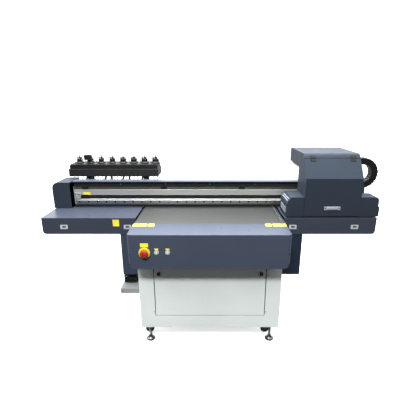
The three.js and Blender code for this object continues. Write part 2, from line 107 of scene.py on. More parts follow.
class Nodes:
    """A small builder for one material's node tree, in the piece's own coordinates."""

    def __init__(self, name, metallic=0.0, coat=0.0, specular=0.5):
        self.material = bpy.data.materials.new(name)
        self.material.use_nodes = True
        self.tree = self.material.node_tree
        self.shader = self.tree.nodes["Principled BSDF"]
        self.shader.inputs["Metallic"].default_value = metallic
        self.shader.inputs["Coat Weight"].default_value = coat
        self.shader.inputs["Specular IOR Level"].default_value = specular
        self.place = self.tree.nodes.new("ShaderNodeTexCoord").outputs["Object"]

    def link(self, output, node_input):
        self.tree.links.new(output, node_input)

    def noise(self, scale, detail=2.0, stretch=(1, 1, 1), roughness=0.5):
        mapping = self.tree.nodes.new("ShaderNodeMapping")
        mapping.inputs["Scale"].default_value = stretch
        self.link(self.place, mapping.inputs["Vector"])
        noise = self.tree.nodes.new("ShaderNodeTexNoise")
        noise.inputs["Scale"].default_value = scale
        noise.inputs["Detail"].default_value = detail
        noise.inputs["Roughness"].default_value = roughness
        self.link(mapping.outputs["Vector"], noise.inputs["Vector"])
        return noise.outputs["Fac"]

    def ramp(self, value, stops):
        ramp = self.tree.nodes.new("ShaderNodeValToRGB")
        elements = ramp.color_ramp.elements
        while len(elements) < len(stops):
            elements.new(0.5)
        for element, (position, colour) in zip(elements, stops):
            element.position = position
            element.color = colour
        self.link(value, ramp.inputs["Fac"])
        return ramp.outputs["Color"]

    def spread(self, value, low, high):
        node = self.tree.nodes.new("ShaderNodeMapRange")
        node.inputs["From Min"].default_value = 0.3
        node.inputs["From Max"].default_value = 0.7
        node.inputs["To Min"].default_value = low
        node.inputs["To Max"].default_value = high
        self.link(value, node.inputs["Value"])
        return node.outputs["Result"]

    def bump(self, value, strength, distance):
        node = self.tree.nodes.new("ShaderNodeBump")
        node.inputs["Strength"].default_value = strength
        node.inputs["Distance"].default_value = distance
        self.link(value, node.inputs["Height"])
        self.link(node.outputs["Normal"], self.shader.inputs["Normal"])

    def colour(self, output):
        self.link(output, self.shader.inputs["Base Color"])

    def roughness(self, output):
        self.link(output, self.shader.inputs["Roughness"])


def shade(colour, factor):
    return tuple(min(1, c * factor) for c in colour[:3]) + (1,)


def powder_coat(name, colour, rough, specular=0.2):
    """Baked paint: a fine orange peel, faint cloudiness and a little dust in the roughness."""
    n = Nodes(name, specular=specular)
    cloud = n.noise(3.5, 4)
    n.colour(n.ramp(cloud, [(0.3, shade(colour, 0.95)), (0.7, shade(colour, 1.05))]))
    n.roughness(n.spread(n.noise(9, 5, roughness=0.7), rough - 0.05, rough + 0.07))
    n.bump(n.noise(900, 3), 0.18, 0.0004)
    return n.material


def brushed(name, colour, rough=0.28, stretch=(1.5, 300, 300), contrast=0.12, metallic=1.0):
    """Drawn or ground metal, with fine lines along the piece."""
    n = Nodes(name, metallic=metallic)
    lines = n.noise(2.2, 6, stretch, 0.7)
    n.colour(n.ramp(lines, [(0.25, shade(colour, 1 - contrast)), (0.75, shade(colour, 1 + contrast))]))
    n.roughness(n.spread(lines, rough - 0.06, rough + 0.1))
    n.bump(lines, 0.12, 0.0002)
    return n.material


def moulded(name, colour, rough=0.5, grain=1500, depth=0.25, coat=0.0, specular=0.5):
    """Moulded plastic or rubber with a spark-eroded grain."""
    n = Nodes(name, coat=coat, specular=specular)
    n.colour(n.ramp(n.noise(14, 4), [(0.3, shade(colour, 0.85)), (0.7, shade(colour, 1.15))]))
    n.roughness(n.spread(n.noise(40, 4), rough - 0.06, rough + 0.06))
    n.bump(n.noise(grain, 2), depth, 0.0003)
    return n.material


def plated(name, colour, rough=0.12):
    """Bright plating, with a faint haze."""
    n = Nodes(name, metallic=1.0)
    haze = n.noise(60, 4)
    n.colour(n.ramp(haze, [(0.3, shade(colour, 0.9)), (0.7, colour)]))
    n.roughness(n.spread(haze, rough - 0.03, rough + 0.08))
    n.bump(n.noise(400, 2), 0.05, 0.0002)
    return n.material


def anodised_bed(name, colour):
    """Hard anodised plate: fine milling lines from front to back under a satin surface."""
    n = Nodes(name, metallic=0.55)
    lines = n.noise(3.0, 6, (120, 1.2, 60), 0.75)
    broad = n.noise(2.2, 3)
    mix = n.tree.nodes.new("ShaderNodeMix")
    mix.inputs["Factor"].default_value = 0.35
    n.link(lines, mix.inputs["A"])
    n.link(broad, mix.inputs["B"])
    n.colour(n.ramp(mix.outputs["Result"], [(0.35, shade(colour, 0.88)), (0.65, shade(colour, 1.12))]))
    n.roughness(n.spread(broad, 0.34, 0.46))
    n.bump(lines, 0.1, 0.0002)
    return n.material


SLATE = powder_coat("slate_powder_coat", srgb(62, 69, 84), 0.32)
WING_SLATE = powder_coat("wing_slate_powder_coat", srgb(56, 61, 73), 0.32)
DEEP_SLATE = powder_coat("deep_slate_powder_coat", srgb(45, 52, 62), 0.42, specular=0.05)
NAVY = powder_coat("navy_powder_coat", srgb(34, 44, 58), 0.4)
STEEL_BLUE = powder_coat("steel_blue_powder_coat", srgb(54, 62, 79), 0.4)
TRAY_GREY = powder_coat("tray_powder_coat", srgb(140, 144, 144), 0.48)
PALE = powder_coat("pale_grey_powder_coat", srgb(217, 224, 222), 0.48, specular=0.3)
CHARCOAL = powder_coat("charcoal_powder_coat", srgb(28, 29, 32), 0.5, specular=0.25)
BED = anodised_bed("anodised_bed", srgb(70, 72, 71))
ALUMINIUM = brushed("extruded_aluminium", srgb(191, 192, 190), 0.34, metallic=0.6)
GROUND = brushed("ground_steel", srgb(214, 214, 212), 0.2, contrast=0.08)
UPRIGHT = brushed("ground_steel_upright", srgb(205, 205, 204), 0.22, (300, 300, 1.5), 0.08)
CHROME = plated("bright_chrome", srgb(222, 222, 224))
SCREW = plated("screw_zinc", srgb(120, 122, 126), 0.3)
BLACK = moulded("black_plastic", srgb(15, 15, 16), 0.5, specular=0.3)
RUBBER = moulded("black_rubber", srgb(30, 30, 32), 0.75)
GREY_WHEEL = moulded("grey_nylon", srgb(84, 88, 90), 0.55)
YELLOW = moulded("yellow_label_film", srgb(230, 216, 66), 0.45, 700, 0.08, specular=0.3)
YELLOW_CAP = moulded("yellow_plastic", srgb(216, 194, 48), 0.45, 900, 0.12, specular=0.3)
RED = moulded("red_plastic", srgb(152, 28, 22), 0.4, 900, 0.12, coat=0.1, specular=0.3)
WHITE = moulded("off_white_plastic", srgb(214, 216, 210), 0.45)
DARK = moulded("shadow_black", srgb(8, 8, 9), 0.8)
TUBING = moulded("ink_tubing", srgb(60, 60, 64), 0.18, 300, 0.05, coat=0.6)
HANDLE = powder_coat("silver_handle", srgb(150, 156, 168), 0.4, specular=0.3)
PLATE_GREY = moulded("grey_cover_plate", srgb(176, 180, 182), 0.5)
# darker grey that paints the shade across the beam face below the top cover's lip
LIP_SHADE = brushed("lip_shade_grey", srgb(104, 105, 104), 0.42)
RAIL = brushed("rail_steel", srgb(168, 169, 170), 0.3, contrast=0.08)


# ---- mesh building ----
def rounded_rect(a, b, radius, steps=4):
    """Outline of a rectangle given by two opposite corners, with round corners."""
    (x0, y0), (x1, y1) = a, b
    points = []
    for cx, cy, start in ((x1 - radius, y1 - radius, 0), (x0 + radius, y1 - radius, 90),
                          (x0 + radius, y0 + radius, 180), (x1 - radius, y0 + radius, 270)):
        for i in range(steps + 1):
            t = math.radians(start + 90 * i / steps)
            points.append((cx + radius * math.cos(t), cy + radius * math.sin(t)))
    return points


def circle(cx, cy, radius, steps=24):
    turn = 2 * math.pi / steps
    return [(cx + radius * math.cos(turn * i), cy + radius * math.sin(turn * i)) for i in range(steps)]


def around(centre, half):
    return (centre - half, centre + half)


def polar(radius, degrees, centre=(0, 0)):
    t = math.radians(degrees)
    return (centre[0] + radius * math.cos(t), centre[1] + radius * math.sin(t))


def disc(radius, low, high):
    """Lathe profile of a plain disc or pin."""
    return [(0, low), (radius, low), (radius, high), (0, high)]


def flat_ring(radius, half, low, high):
    """Lathe profile of a flat ring, half to either side of its radius."""
    return [(radius - half, low), (radius + half, low), (radius + half, high), (radius - half, high)]


def every(start, stop, step):
    while start < stop:
        yield start
        start += step


def mirrored(profile):
    """Lathe profile whose upper half mirrors its lower half."""
    return profile + [(radius, -height) for radius, height in reversed(profile)]


def smooth_path(points, steps=6):
    """Catmull-Rom curve through the points."""
    p = [Vector(q) for q in points]
    p = [2 * p[0] - p[1]] + p + [2 * p[-1] - p[-2]]
    out = []
    for i in range(1, len(p) - 2):
        a, b, c, d = p[i - 1:i + 3]
        for k in range(steps):
            t = k / steps
            out.append(0.5 * (2 * b + (c - a) * t + (2 * a - 5 * b + 4 * c - d) * t ** 2
                              + (3 * b - a - 3 * c + d) * t ** 3))
    return out + [p[-2]]


class Kit:
    """Collects closed shapes, in datum millimetres, and makes one piece of them."""

    def __init__(self):
        self.verts, self.faces, self.slots = [], [], []

    def put(self, verts, faces, mat=0, matrix=None):
        base = len(self.verts)
        self.verts += [matrix @ Vector(v) if matrix else Vector(v) for v in verts]
        self.faces += [[base + i for i in f] for f in faces]
        self.slots += [mat] * len(faces)
        return self

    def box(self, x, y, z, mat=0):
        verts = [(a, b, c) for a in x for b in y for c in z]
        faces = [(0, 1, 3, 2), (4, 6, 7, 5), (0, 4, 5, 1), (2, 3, 7, 6), (0, 2, 6, 4), (1, 5, 7, 3)]
        return self.put(verts, faces, mat)

    def skin(self, rings, mat=0, matrix=None):
        """Closed skin over rings of equally many points, with a cap on the first and on the last."""
        n, last = len(rings[0]), len(rings) - 1
        faces = [list(range(n)), list(range(last * n, (last + 1) * n))]
        for k in range(0, last * n, n):
            faces += [(k + i, k + (i + 1) % n, k + n + (i + 1) % n, k + n + i) for i in range(n)]
        return self.put([v for ring in rings for v in ring], faces, mat, matrix)

    def prism(self, points, axis, depth, mat=0, matrix=None):
        """Outline in the two other axes, in X, Y, Z order, pushed along axis over depth."""
        place = {"x": lambda p, d: (d, p[0], p[1]), "y": lambda p, d: (p[0], d, p[1]),
                 "z": lambda p, d: (p[0], p[1], d)}[axis]
        return self.skin([[place(p, d) for p in points] for d in depth], mat, matrix)

    def plate(self, x, z, radius, depth, mat=0):
        """Upright plate with round corners: its spans across and up, and its depth along Y."""
        return self.prism(rounded_rect((x[0], z[0]), (x[1], z[1]), radius), "y", depth, mat)

    def lathe(self, profile, origin=(0, 0, 0), axis="z", steps=32, mat=0):
        """Profile of (radius, height). It starts and ends on the axis, or closes on itself."""
        turn = {"x": Matrix.Rotation(math.pi / 2, 4, "Y"), "y": Matrix.Rotation(-math.pi / 2, 4, "X"),
                "z": Matrix.Identity(4)}[axis]
        matrix = Matrix.Translation(origin) @ turn
        verts, rings = [], []
        for r, h in profile:
            if r < 1e-6:
                rings.append([len(verts)])
                verts.append((0, 0, h))
            else:
                rings.append(list(range(len(verts), len(verts) + steps)))
                verts += [(a, b, h) for a, b in circle(0, 0, r, steps)]
        faces = []
        pairs = list(zip(rings, rings[1:]))
        if len(rings[0]) > 1:
            pairs.append((rings[-1], rings[0]))
        for a, b in pairs:
            for k in range(steps):
                j = (k + 1) % steps
                corners = [a[k % len(a)], a[j % len(a)], b[j % len(b)], b[k % len(b)]]
                unique = list(dict.fromkeys(corners))
                if len(unique) > 2:
                    faces.append(unique)
        return self.put(verts, faces, mat, matrix)

    def rod(self, a, b, radius, steps=16, mat=0):
        return self.tube([a, b], radius, steps, mat)

    def ribs(self, count, radius, centre, depth, thick, axis="y", steps=8, mat=0):
        """Fine round ribs along depth, evenly spaced round an axis."""
        for k in range(count):
            a, b = polar(radius, 360 * k / count, centre)
            ends = [(a, d, b) if axis == "y" else (a, b, d) for d in depth]
            self.rod(*ends, thick, steps, mat)

    def tube(self, path, radius, steps=10, mat=0):
        path = [Vector(p) for p in path]
        rings, side = [], None
        for i, p in enumerate(path):
            ahead = (path[min(i + 1, len(path) - 1)] - path[max(i - 1, 0)]).normalized()
            if side is None:
                side = ahead.orthogonal().normalized()
            side = (side - ahead * side.dot(ahead)).normalized()
            other = ahead.cross(side)
            rings.append([p + side * a + other * b for a, b in circle(0, 0, radius, steps)])
        return self.skin(rings, mat)

    def socket_screw(self, at, axis="y", radius=4.5, height=3, sign=-1, mat=0, dark=1):
        """Cap screw head standing on the face at a point, with a dark disc on its top that paints the shade
        inside the hexagonal socket.
        """
        r, h = radius, height * sign
        self.lathe([(0, 0), (r, 0), (r, h * 0.75), (r * 0.85, h), (0, h)], at, axis, 16, mat)
        return self.lathe(disc(r * 0.45, h * 0.98, h * 1.03),
                          at, axis, 6, dark)

    def make(self, name, body, materials, slot, bevel=0.0, segments=2, angle=32, blend=None):
        mesh = bpy.data.meshes.new(name)
        mesh.from_pydata([DATUM + v * 0.001 for v in self.verts], [], self.faces)
        for material in materials:
            mesh.materials.append(material)
        for polygon, index in zip(mesh.polygons, self.slots):
            polygon.material_index = index
        bm = bmesh.new()
        bm.from_mesh(mesh)
        bmesh.ops.recalc_face_normals(bm, faces=bm.faces)
        bm.to_mesh(mesh)
        bm.free()
        piece = show(mesh, name, bevel, segments, angle)
        if blend:
            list(blend)
            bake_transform(piece)
        else:
            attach(piece, body)
        return piece


def show(mesh, name, bevel, segments, angle):
    """Links the mesh as an object, with smooth shading and rounded edges."""
    for polygon in mesh.polygons:
        polygon.use_smooth = True
    mesh.set_sharp_from_angle(angle=math.radians(angle))
    piece = bpy.data.objects.new(name, mesh)
    bpy.context.scene.collection.objects.link(piece)
    if bevel:
        modifier = piece.modifiers.new("edges", "BEVEL")
        modifier.width = bevel * 0.001
        modifier.segments = segments
        modifier.limit_method = "ANGLE"
        modifier.angle_limit = math.radians(angle)
        modifier.use_clamp_overlap = False
        modifier.harden_normals = True
    return piece


SLOT_OF = {s["node"]: s["material_slot"] for s in frame["record"]["subparts"]}
BODY_OF = {n: b for b, nodes in frame["record"]["behaviour"]["bodies"].items() for n in nodes}


def refine(node, material, bevel=1.2, segments=3, angle=32):
    """Stands a clean copy of a CAD node in its place, with flat faces merged and edges rounded."""
    bm = bmesh.new()
    bm.from_mesh(frame["nodes"][node].data)
    bmesh.ops.remove_doubles(bm, verts=bm.verts, dist=1e-5)
    bmesh.ops.dissolve_limit(bm, angle_limit=math.radians(0.6), verts=bm.verts, edges=bm.edges)
    bmesh.ops.recalc_face_normals(bm, faces=bm.faces)
    mesh = bpy.data.meshes.new(node + "_finished")
    bm.to_mesh(mesh)
    bm.free()
    mesh.materials.clear()
    mesh.materials.append(material)
    for polygon in mesh.polygons:
        polygon.material_index = 0
    piece = show(mesh, node + "_finished", bevel, segments, angle)
    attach(piece, BODY_OF[node])
    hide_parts(node)
    return piece


def stand_for(kit, node, materials, bevel=0.0, name=None, **extra):
    piece = kit.make(name or node + "_detailed", BODY_OF[node], materials, SLOT_OF[node], bevel, **extra)
    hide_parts(node)
    return piece


# ---- cabinet ----
CORNER_PLATE = (190, 215)  # across and back
LOUVRE_PITCH = 15


def make_cabinet():
    for node, bevel in (("cabinet_shell", 1.4), ("front_panel", 1.2), ("cabinet_back_panel", 0.8),
                        ("control_box", 1.5)):
        refine(node, PALE, bevel)
    refine("y_chain_tray", TRAY_GREY, 1.0)
    refine("vacuum_blower", CHARCOAL, 1.5)
    refine("table_frame", NAVY, 2)
    refine("y_drive_motor", BLACK, 2)
    for side in ("left", "right"):
        refine(f"y_guide_rail_{side}", GROUND, 0.8)
        latch_x, (front, back), latch_z = span(f"panel_latch_{side}")
        lx, lz, latch = middle(latch_x), middle(latch_z), Kit()
        latch.lathe(disc(10, front + 3, back), (lx, 0, lz), "y", 28)
        latch.plate(around(lx, 10), around(lz, 10), 2, (front, front + 3.5))
        latch.plate(around(lx, 1.6), around(lz, 6), 1, (front - 0.4, front + 0.2), 1)
        stand_for(latch, f"panel_latch_{side}", [BLACK, SCREW], 0.4)

    (x0, x1), (y0, y1), (z0, z1) = span("cabinet_shell")
    panel_x, _, panel_z = span("front_panel")

    bezels = Kit()
    for side, out in SIDES:
        latch_x, _, latch_z = span(f"panel_latch_{side}")
        lx, lz = end_of(latch_x, -out) + 11 * out, middle(latch_z)
        bezels.plate(around(lx - 4 * out, 20), around(lz, 13), 4, (y0 - 0.9, y0 + 0.5))
        bezels.lathe([(11.5, -2.2), (13, -2.2), (14, -0.9), (11.5, -0.9)], (lx, y0, lz), "y", 28, 1)
    bezels.make("latch_bezels", "front_panel", [PALE, SCREW], "cabinet_paint", 0.3)

    screws = Kit()
    for side, x in ((-1, x0), (1, x1)):
        for y in (y0 + 60, y1 - 60):
            for z in (z0 + 50, z1 - 40):
                screws.socket_screw((x, y, z), "x", 4.5, 2.4, side)
    wide, deep = CORNER_PLATE
    for cx0, cx1 in ((x0, x0 + wide), (x1 - wide, x1)):
        for cy0, cy1 in ((y0, y0 + deep), (y1 - deep, y1)):
            for px in (cx0 + 14, cx1 - 14):
                for py in (cy0 + 14, cy1 - 14):
                    screws.lathe(disc(7, 0, -5), (px, py, z0), "z", 6)
    for px in (panel_x[0] - 11, panel_x[1] + 11):
        for pz in (panel_z[0] + 24, panel_z[1] - 10):
            screws.socket_screw((px, y0, pz), "y", 3, 1.6)
    tray_x, tray_y, tray_z = span("y_chain_tray")
    screws.socket_screw((tray_x[0] + 14, tray_y[0], middle(tray_z)), "y", 3.5, 1.8)
    screws.make("cabinet_screws", "base", [SCREW, DARK], "bright_steel", 0.3)

    sides = Kit()
    for side, x in ((-1, x0), (1, x1)):
        door = rounded_rect((y0 + 150, z0 + 46), (y1 - 150, z1 - 70), 6)
        sides.prism(door, "x", sorted((x, x + side * 1.6)))
        for bank in (y0 + 190, y1 - 330):
            for i in range(9):
                z = z0 + 76 + i * LOUVRE_PITCH
                near, far = side * 1.4 + x, side * 6.5 + x
                hood = [(near, z), (far, z + 1), (far, z + 3), (near, z + 9)]
                sides.prism(hood, "y", (bank, bank + 140))
                # A dark strip under each louvre hood paints the shade in its slot.
                sides.box((x + side * 1.5, x + side * 2.1), (bank + 3, bank + 137), (z - 4, z - 0.4), 1)
        for y in (y0 + 165, y1 - 165):
            for z in (z0 + 60, z1 - 84):
                sides.socket_screw((x + side * 1.6, y, z), "x", 4.5, 2.2, side, 2, 1)
    sides.make("side_service_doors", "base", [PALE, DARK, SCREW], "cabinet_paint", 0.5)

    make_back(x0, x1, y1, z0, z1)


FAN_Z = 302


def make_back(x0, x1, y1, z0, z1):
    """Two fans, the main switch with its sockets, and cable glands on the back panel."""
    back = Kit()
    for x in (x0 + 20, 0, x1 - 20):
        for z in (z0 + 20, z1 - 20):
            back.socket_screw((x, y1, z), "y", 4.5, 2.4, 1)
    for cx in (-230, -90):
        back.plate(around(cx, 62), around(FAN_Z, 62), 8, (y1, y1 + 4), 2)
        for ring in range(5):
            r = 14 + ring * 9.5
            back.lathe(flat_ring(r, 1.3, 4, 6.5), (cx, y1, FAN_Z), "y", 40, 0)
        for k in range(4):
            (ax, az), (bx, bz) = (polar(r, 45 + 90 * k, (cx, FAN_Z)) for r in (8, 56))
            back.rod((ax, y1 + 5, az), (bx, y1 + 5, bz), 1.4, 8)
        back.lathe(disc(11, 4, 6.5), (cx, y1, FAN_Z), "y", 24, 0)
    back.plate((150, 290), (260, 350), 5, (y1, y1 + 2), 2)
    back.plate((165, 198), (280, 330), 3, (y1 + 2, y1 + 6), 1)
    for px, pz in ((176, 296), (187, 296), (181.5, 314)):
        back.box(around(px, 1.5), (y1 + 6, y1 + 6.6), around(pz, 4), 0)
    back.plate((214, 240), (280, 330), 3, (y1 + 2, y1 + 5), 1)
    back.plate((218, 236), (286, 324), 2, (y1 + 5, y1 + 9), 3)
    for gx in (258, 276):
        back.lathe([(0, 2), (8, 2), (8, 7), (6, 7), (6, 15), (3.5, 16), (3.5, 10), (0, 10)],
                   (gx, y1, 305), "y", 12, 1)
    for gx in (60, 84, 108):
        back.lathe([(0, 0), (10, 0), (10, 6), (8, 7), (8, 16), (5, 18), (5, 9), (0, 9)],
                   (gx, y1, 520), "y", 12, 1)
    back.make("back_services", "base", [SCREW, BLACK, CHARCOAL, RED], "bright_steel", 0.4)


# ---- feet and casters ----
CORNERS = [f"{end}_{side}" for end in ("front", "rear") for side in ("left", "right")]


def make_feet():
    for key in CORNERS:
        node = f"levelling_foot_{key}"
        sx, sy, sz = span(node)
        at = (middle(sx), middle(sy), 0)
        r, top = (sy[1] - sy[0]) / 2, sz[1]
        foot = Kit()
        foot.lathe([(0, 0), (r - 1.5, 0), (r, 1.5), (r, 7), (r - 2, 9), (0, 9)], at, "z", 40, 1)
        foot.lathe([(0, 8.8), (r - 3, 8.8), (r - 3.6, 10.5), (18, 14), (13.5, 20), (11, 28), (9.5, 35),
                    (8, 37), (0, 37)], at, "z", 40, 0)
        thread = [(0, 36)]
        for z in every(36, top - 22, 2.5):
            thread += [(7.6, z), (7.6, z + 0.7), (6.7, z + 1.4), (6.7, z + 1.8)]
        foot.lathe(thread + [(7.2, z + 2.5), (7.2, top), (0, top)], at, "z", 24, 0)
        foot.lathe([(0, top - 21), (12.5, top - 21), (13.5, top - 20), (13.5, top - 12), (12.5, top - 11),
                    (0, top - 11)], at, "z", 6, 0)
        foot.lathe([(0, top - 11), (21, top - 11), (22, top - 10), (22, top - 8), (17, top - 5),
                    (13, top), (0, top)], at, "z", 40, 2)
        stand_for(foot, node, [SCREW, RUBBER, SCREW], 0.3)


CASTER_TRAIL = 18


def make_casters():
    for key in CORNERS:
        wx, wy, wz = span(f"caster_wheel_{key}")
        centre = (middle(wx), middle(wy), middle(wz))
        r, half = (wz[1] - wz[0]) / 2, (wy[1] - wy[0]) / 2
        wheel = Kit()
        tyre = [(r - 6, -half + 1), (r - 3, -half), (r - 0.8, -half + 1.5), (r, -half + 4)]
        hub = [(4.4, -half + 1), (8, -half + 1), (9, -half + 3.5), (r - 6.5, -half + 3.5),
               (r - 5.9, -half + 1.5)]
        wheel.lathe(mirrored(tyre), centre, "y", 40, 0)
        wheel.lathe(mirrored(hub), centre, "y", 40, 1)
        stand_for(wheel, f"caster_wheel_{key}", [RUBBER, GREY_WHEEL])

        top = span(f"caster_fork_{key}")[2][1]
        px = centre[0] + CASTER_TRAIL
        pivot = (px, centre[1], 0)
        fork = Kit()
        fork.lathe([(0, top - 5), (25, top - 5), (26, top - 4), (26, top - 1), (24, top), (0, top)],
                   pivot, "z", 36)
        fork.lathe([(0, top - 14), (21, top - 14), (23.5, top - 12), (23.5, top - 7), (20, top - 5.2),
                    (0, top - 5.2)], pivot, "z", 36)
        for s in (-1, 1):
            near, far = half + 1, half + 4
            cheek = [(px - 22, top - 12), (px + 18, top - 12), (px + 17, top - 22)]
            cheek += [polar(10, a, (centre[0], centre[2])) for a in range(10, -191, -25)]
            cheek += [(centre[0] - 11, centre[2] + 14)]
            fork.prism(cheek, "y", (centre[1] + s * near, centre[1] + s * far))
            fork.lathe(disc(7, s * far, s * (far + 2)), centre, "y", 6, 1)
        fork.lathe(disc(4, -half - 1, half + 1), centre, "y", 16, 1)
        stand_for(fork, f"caster_fork_{key}", [CHROME, SCREW], 0.4)


# ---- fascia and controls ----
def label(kit, x, z, width, height, y):
    kit.plate(around(x, width / 2), around(z, height / 2), 1.5, (y - 0.5, y + 0.2))


def make_fascia():
    refine("front_fascia", SLATE, 2.2, 3, 28)
    (x0, x1), (y0, y1), (z0, z1) = span("front_fascia")
    ex, _, ez = (middle(v) for v in span("estop_collar"))
    trim = Kit()
    for side, x in ((-1, x0), (1, x1)):
        for z in (z0 + 34, z0 + 84):
            trim.socket_screw((x - side * 0.6, y0 + 32, z), "x", 4.2, 2.2, side, 1, 2)
        for z in (z0 + 24, z0 + 86):
            trim.socket_screw((x - side * 9, y0 + 6, z), "y", 3.6, 3, -1, 2, 2)
        for y in (y0 + 90, y1 - 20):
            trim.socket_screw((x, y, z0 + 30), "x", 4.2, 2.2, side, 1, 2)
    for side, end, long in ((-1, x0, 82), (1, x1, 77)):
        for a, b, mat in ((2, 2 + long, 0), (3.5 + long, 7.5 + long, 2), (9 + long, 45 + long, 0)):
            pair = sorted((end - side * a, end - side * b))
            trim.prism(rounded_rect((pair[0], y1 - 40), (pair[1], y1 - 2), 2), "z", (z1 - 0.3, z1 + 0.5), mat)
    label(trim, ex, ez + 44, 43, 22, y0)
    for name in ("left", "right"):
        bx, _, bz = (middle(v) for v in span(f"push_button_{name}"))
        label(trim, bx, bz + 19, 22, 9, y0)
        trim.lathe([(9.8, 0), (12.5, 0), (13.5, -0.6), (13.5, -2.2), (12, -3.4), (10.4, -3.4), (9.8, -2.6)],
                   (bx, y0, bz), "y", 36, 3)
    trim.make("fascia_trim", "base", [YELLOW, SCREW, DARK, PLATE_GREY], "yellow_plastic", 0.2)

    for name in ("left", "right"):
        sx, (front, back), sz = span(f"push_button_{name}")
        at, r = (middle(sx), 0, middle(sz)), (sx[1] - sx[0]) / 2
        cap = Kit()
        cap.lathe([(0, front + 0.5), (4, front + 0.3), (r - 2.5, front), (r - 1, front + 0.4),
                   (r - 0.2, front + 1.4), (r - 0.2, back), (0, back)], at, "y", 32)
        pip = [(0, front + 0.2), (4.5, front + 0.1), (4.5, front - 0.5), (0, front - 0.6)]
        cap.lathe(pip, at, "y", 24, 1)
        stand_for(cap, f"push_button_{name}", [PLATE_GREY, WHITE])
    make_estop((ex, ez))


def make_estop(centre):
    """Yellow collar and red mushroom head with three turning arrows."""
    at = (centre[0], 0, centre[1])
    (x0, x1), (front, back), _ = span("estop_collar")
    r = (x1 - x0) / 2
    collar = Kit()
    collar.lathe([(13, back), (r, back), (r, front + 4), (r - 1.5, front + 1.2), (r - 4, front),
                  (r - 9, front), (r - 11, front + 1.2), (16, front + 1.2), (13, front + 2)], at, "y", 48)
    collar.ribs(24, r - 0.2, centre, (front + 4.5, back), 0.9)
    stand_for(collar, "estop_collar", [YELLOW_CAP])

    (x0, x1), (front, back), _ = span("estop_head")
    r = (x1 - x0) / 2
    head = Kit()
    profile = []
    for a in range(0, 91, 10):
        cos, sin = polar(1, a)
        profile.append((r * sin * 0.94, front + 6 * (1 - cos)))
    profile += [(r, front + 9), (r, front + 13), (r - 2, front + 15), (15, front + 16.4), (11, front + 16.4),
                (11, back), (0, back)]
    head.lathe(profile, at, "y", 48)
    head.ribs(18, r * 0.985, centre, (front + 9, front + 13), 1.1)
    for start in (15, 135, 255):
        arc = [polar(11, start + a, centre) for a in range(0, 71, 10)]
        head.tube([(a, front + 1.3, b) for a, b in arc], 1.0, 8, 1)
        arrow = [polar(11, start + 84, centre)] + [polar(r, start + 68, centre) for r in (13.6, 8.4)]
        head.prism(arrow, "y", (front + 0.6, front + 2.6), 1)
    stand_for(head, "estop_head", [RED, GREY_WHEEL])


# ---- table ----
RAIL_PITCH = 60  # between a guide rail's screw holes


def make_table():
    refine("vacuum_table", BED, 1.0)
    (x0, x1), (y0, y1), (_, top) = span("vacuum_table")
    # Dark rings on the bed top paint the shade inside the vacuum holes.
    holes = Kit()
    pitch = 24
    nx, ny = int((x1 - x0 - 70) / pitch), int((y1 - y0 - 60) / pitch)
    for i in range(nx + 1):
        for j in range(ny + 1):
            x, y = -nx * pitch / 2 + i * pitch, (y0 + y1) / 2 - ny * pitch / 2 + j * pitch
            holes.lathe([(0.7, -0.1), (1.5, -0.1), (1.3, 0.12), (0.7, 0.12)], (x, y, top), "z", 6)
    holes.make("vacuum_hole_shade_rings", "base", [DARK], "table_anodised")
    scale = Kit()
    x = x1 - 17
    scale.box(around(x, 7), (y0 + 6, y1 - 6), (top, top + 0.7), 0)
    for y in every(y0 + 20, y1 - 16, 25):
        scale.box(around(x, 3.5), around(y, 1), (top + 0.6, top + 0.95), 1)
    scale.make("table_edge_strips", "base", [CHARCOAL, WHITE], "table_anodised", 0.15)
    # Dark discs on the rails' tops paint the shade inside their screw wells.
    rails = Kit()
    for side in ("left", "right"):
        (rx0, rx1), (ry0, ry1), (_, rz1) = span(f"y_guide_rail_{side}")
        for y in every(ry0 + 20, ry1 - 10, RAIL_PITCH):
            rails.lathe(disc(4.5, 0, 0.25), (middle((rx0, rx1)), y, rz1), "z", 12)
    rails.make("y_rail_screw_wells", "base", [DARK], "bright_steel")
    (sx0, sx1), (sy0, sy1), (sz0, sz1) = span("y_ball_screw")
    screw = Kit()
    r = (sx1 - sx0) / 2
    profile = [(0, sy0)]
    for y in every(sy0, sy1 - 10, 10):
        profile += [(r, y), (r, y + 5.5), (r - 1.6, y + 7), (r - 1.6, y + 8.5)]
    screw.lathe(profile + [(r - 2, sy1), (0, sy1)], (middle((sx0, sx1)), 0, middle((sz0, sz1))), "y", 20)
    stand_for(screw, "y_ball_screw", [GROUND])


# ---- gantry ----
WING_LABEL_Z = 748


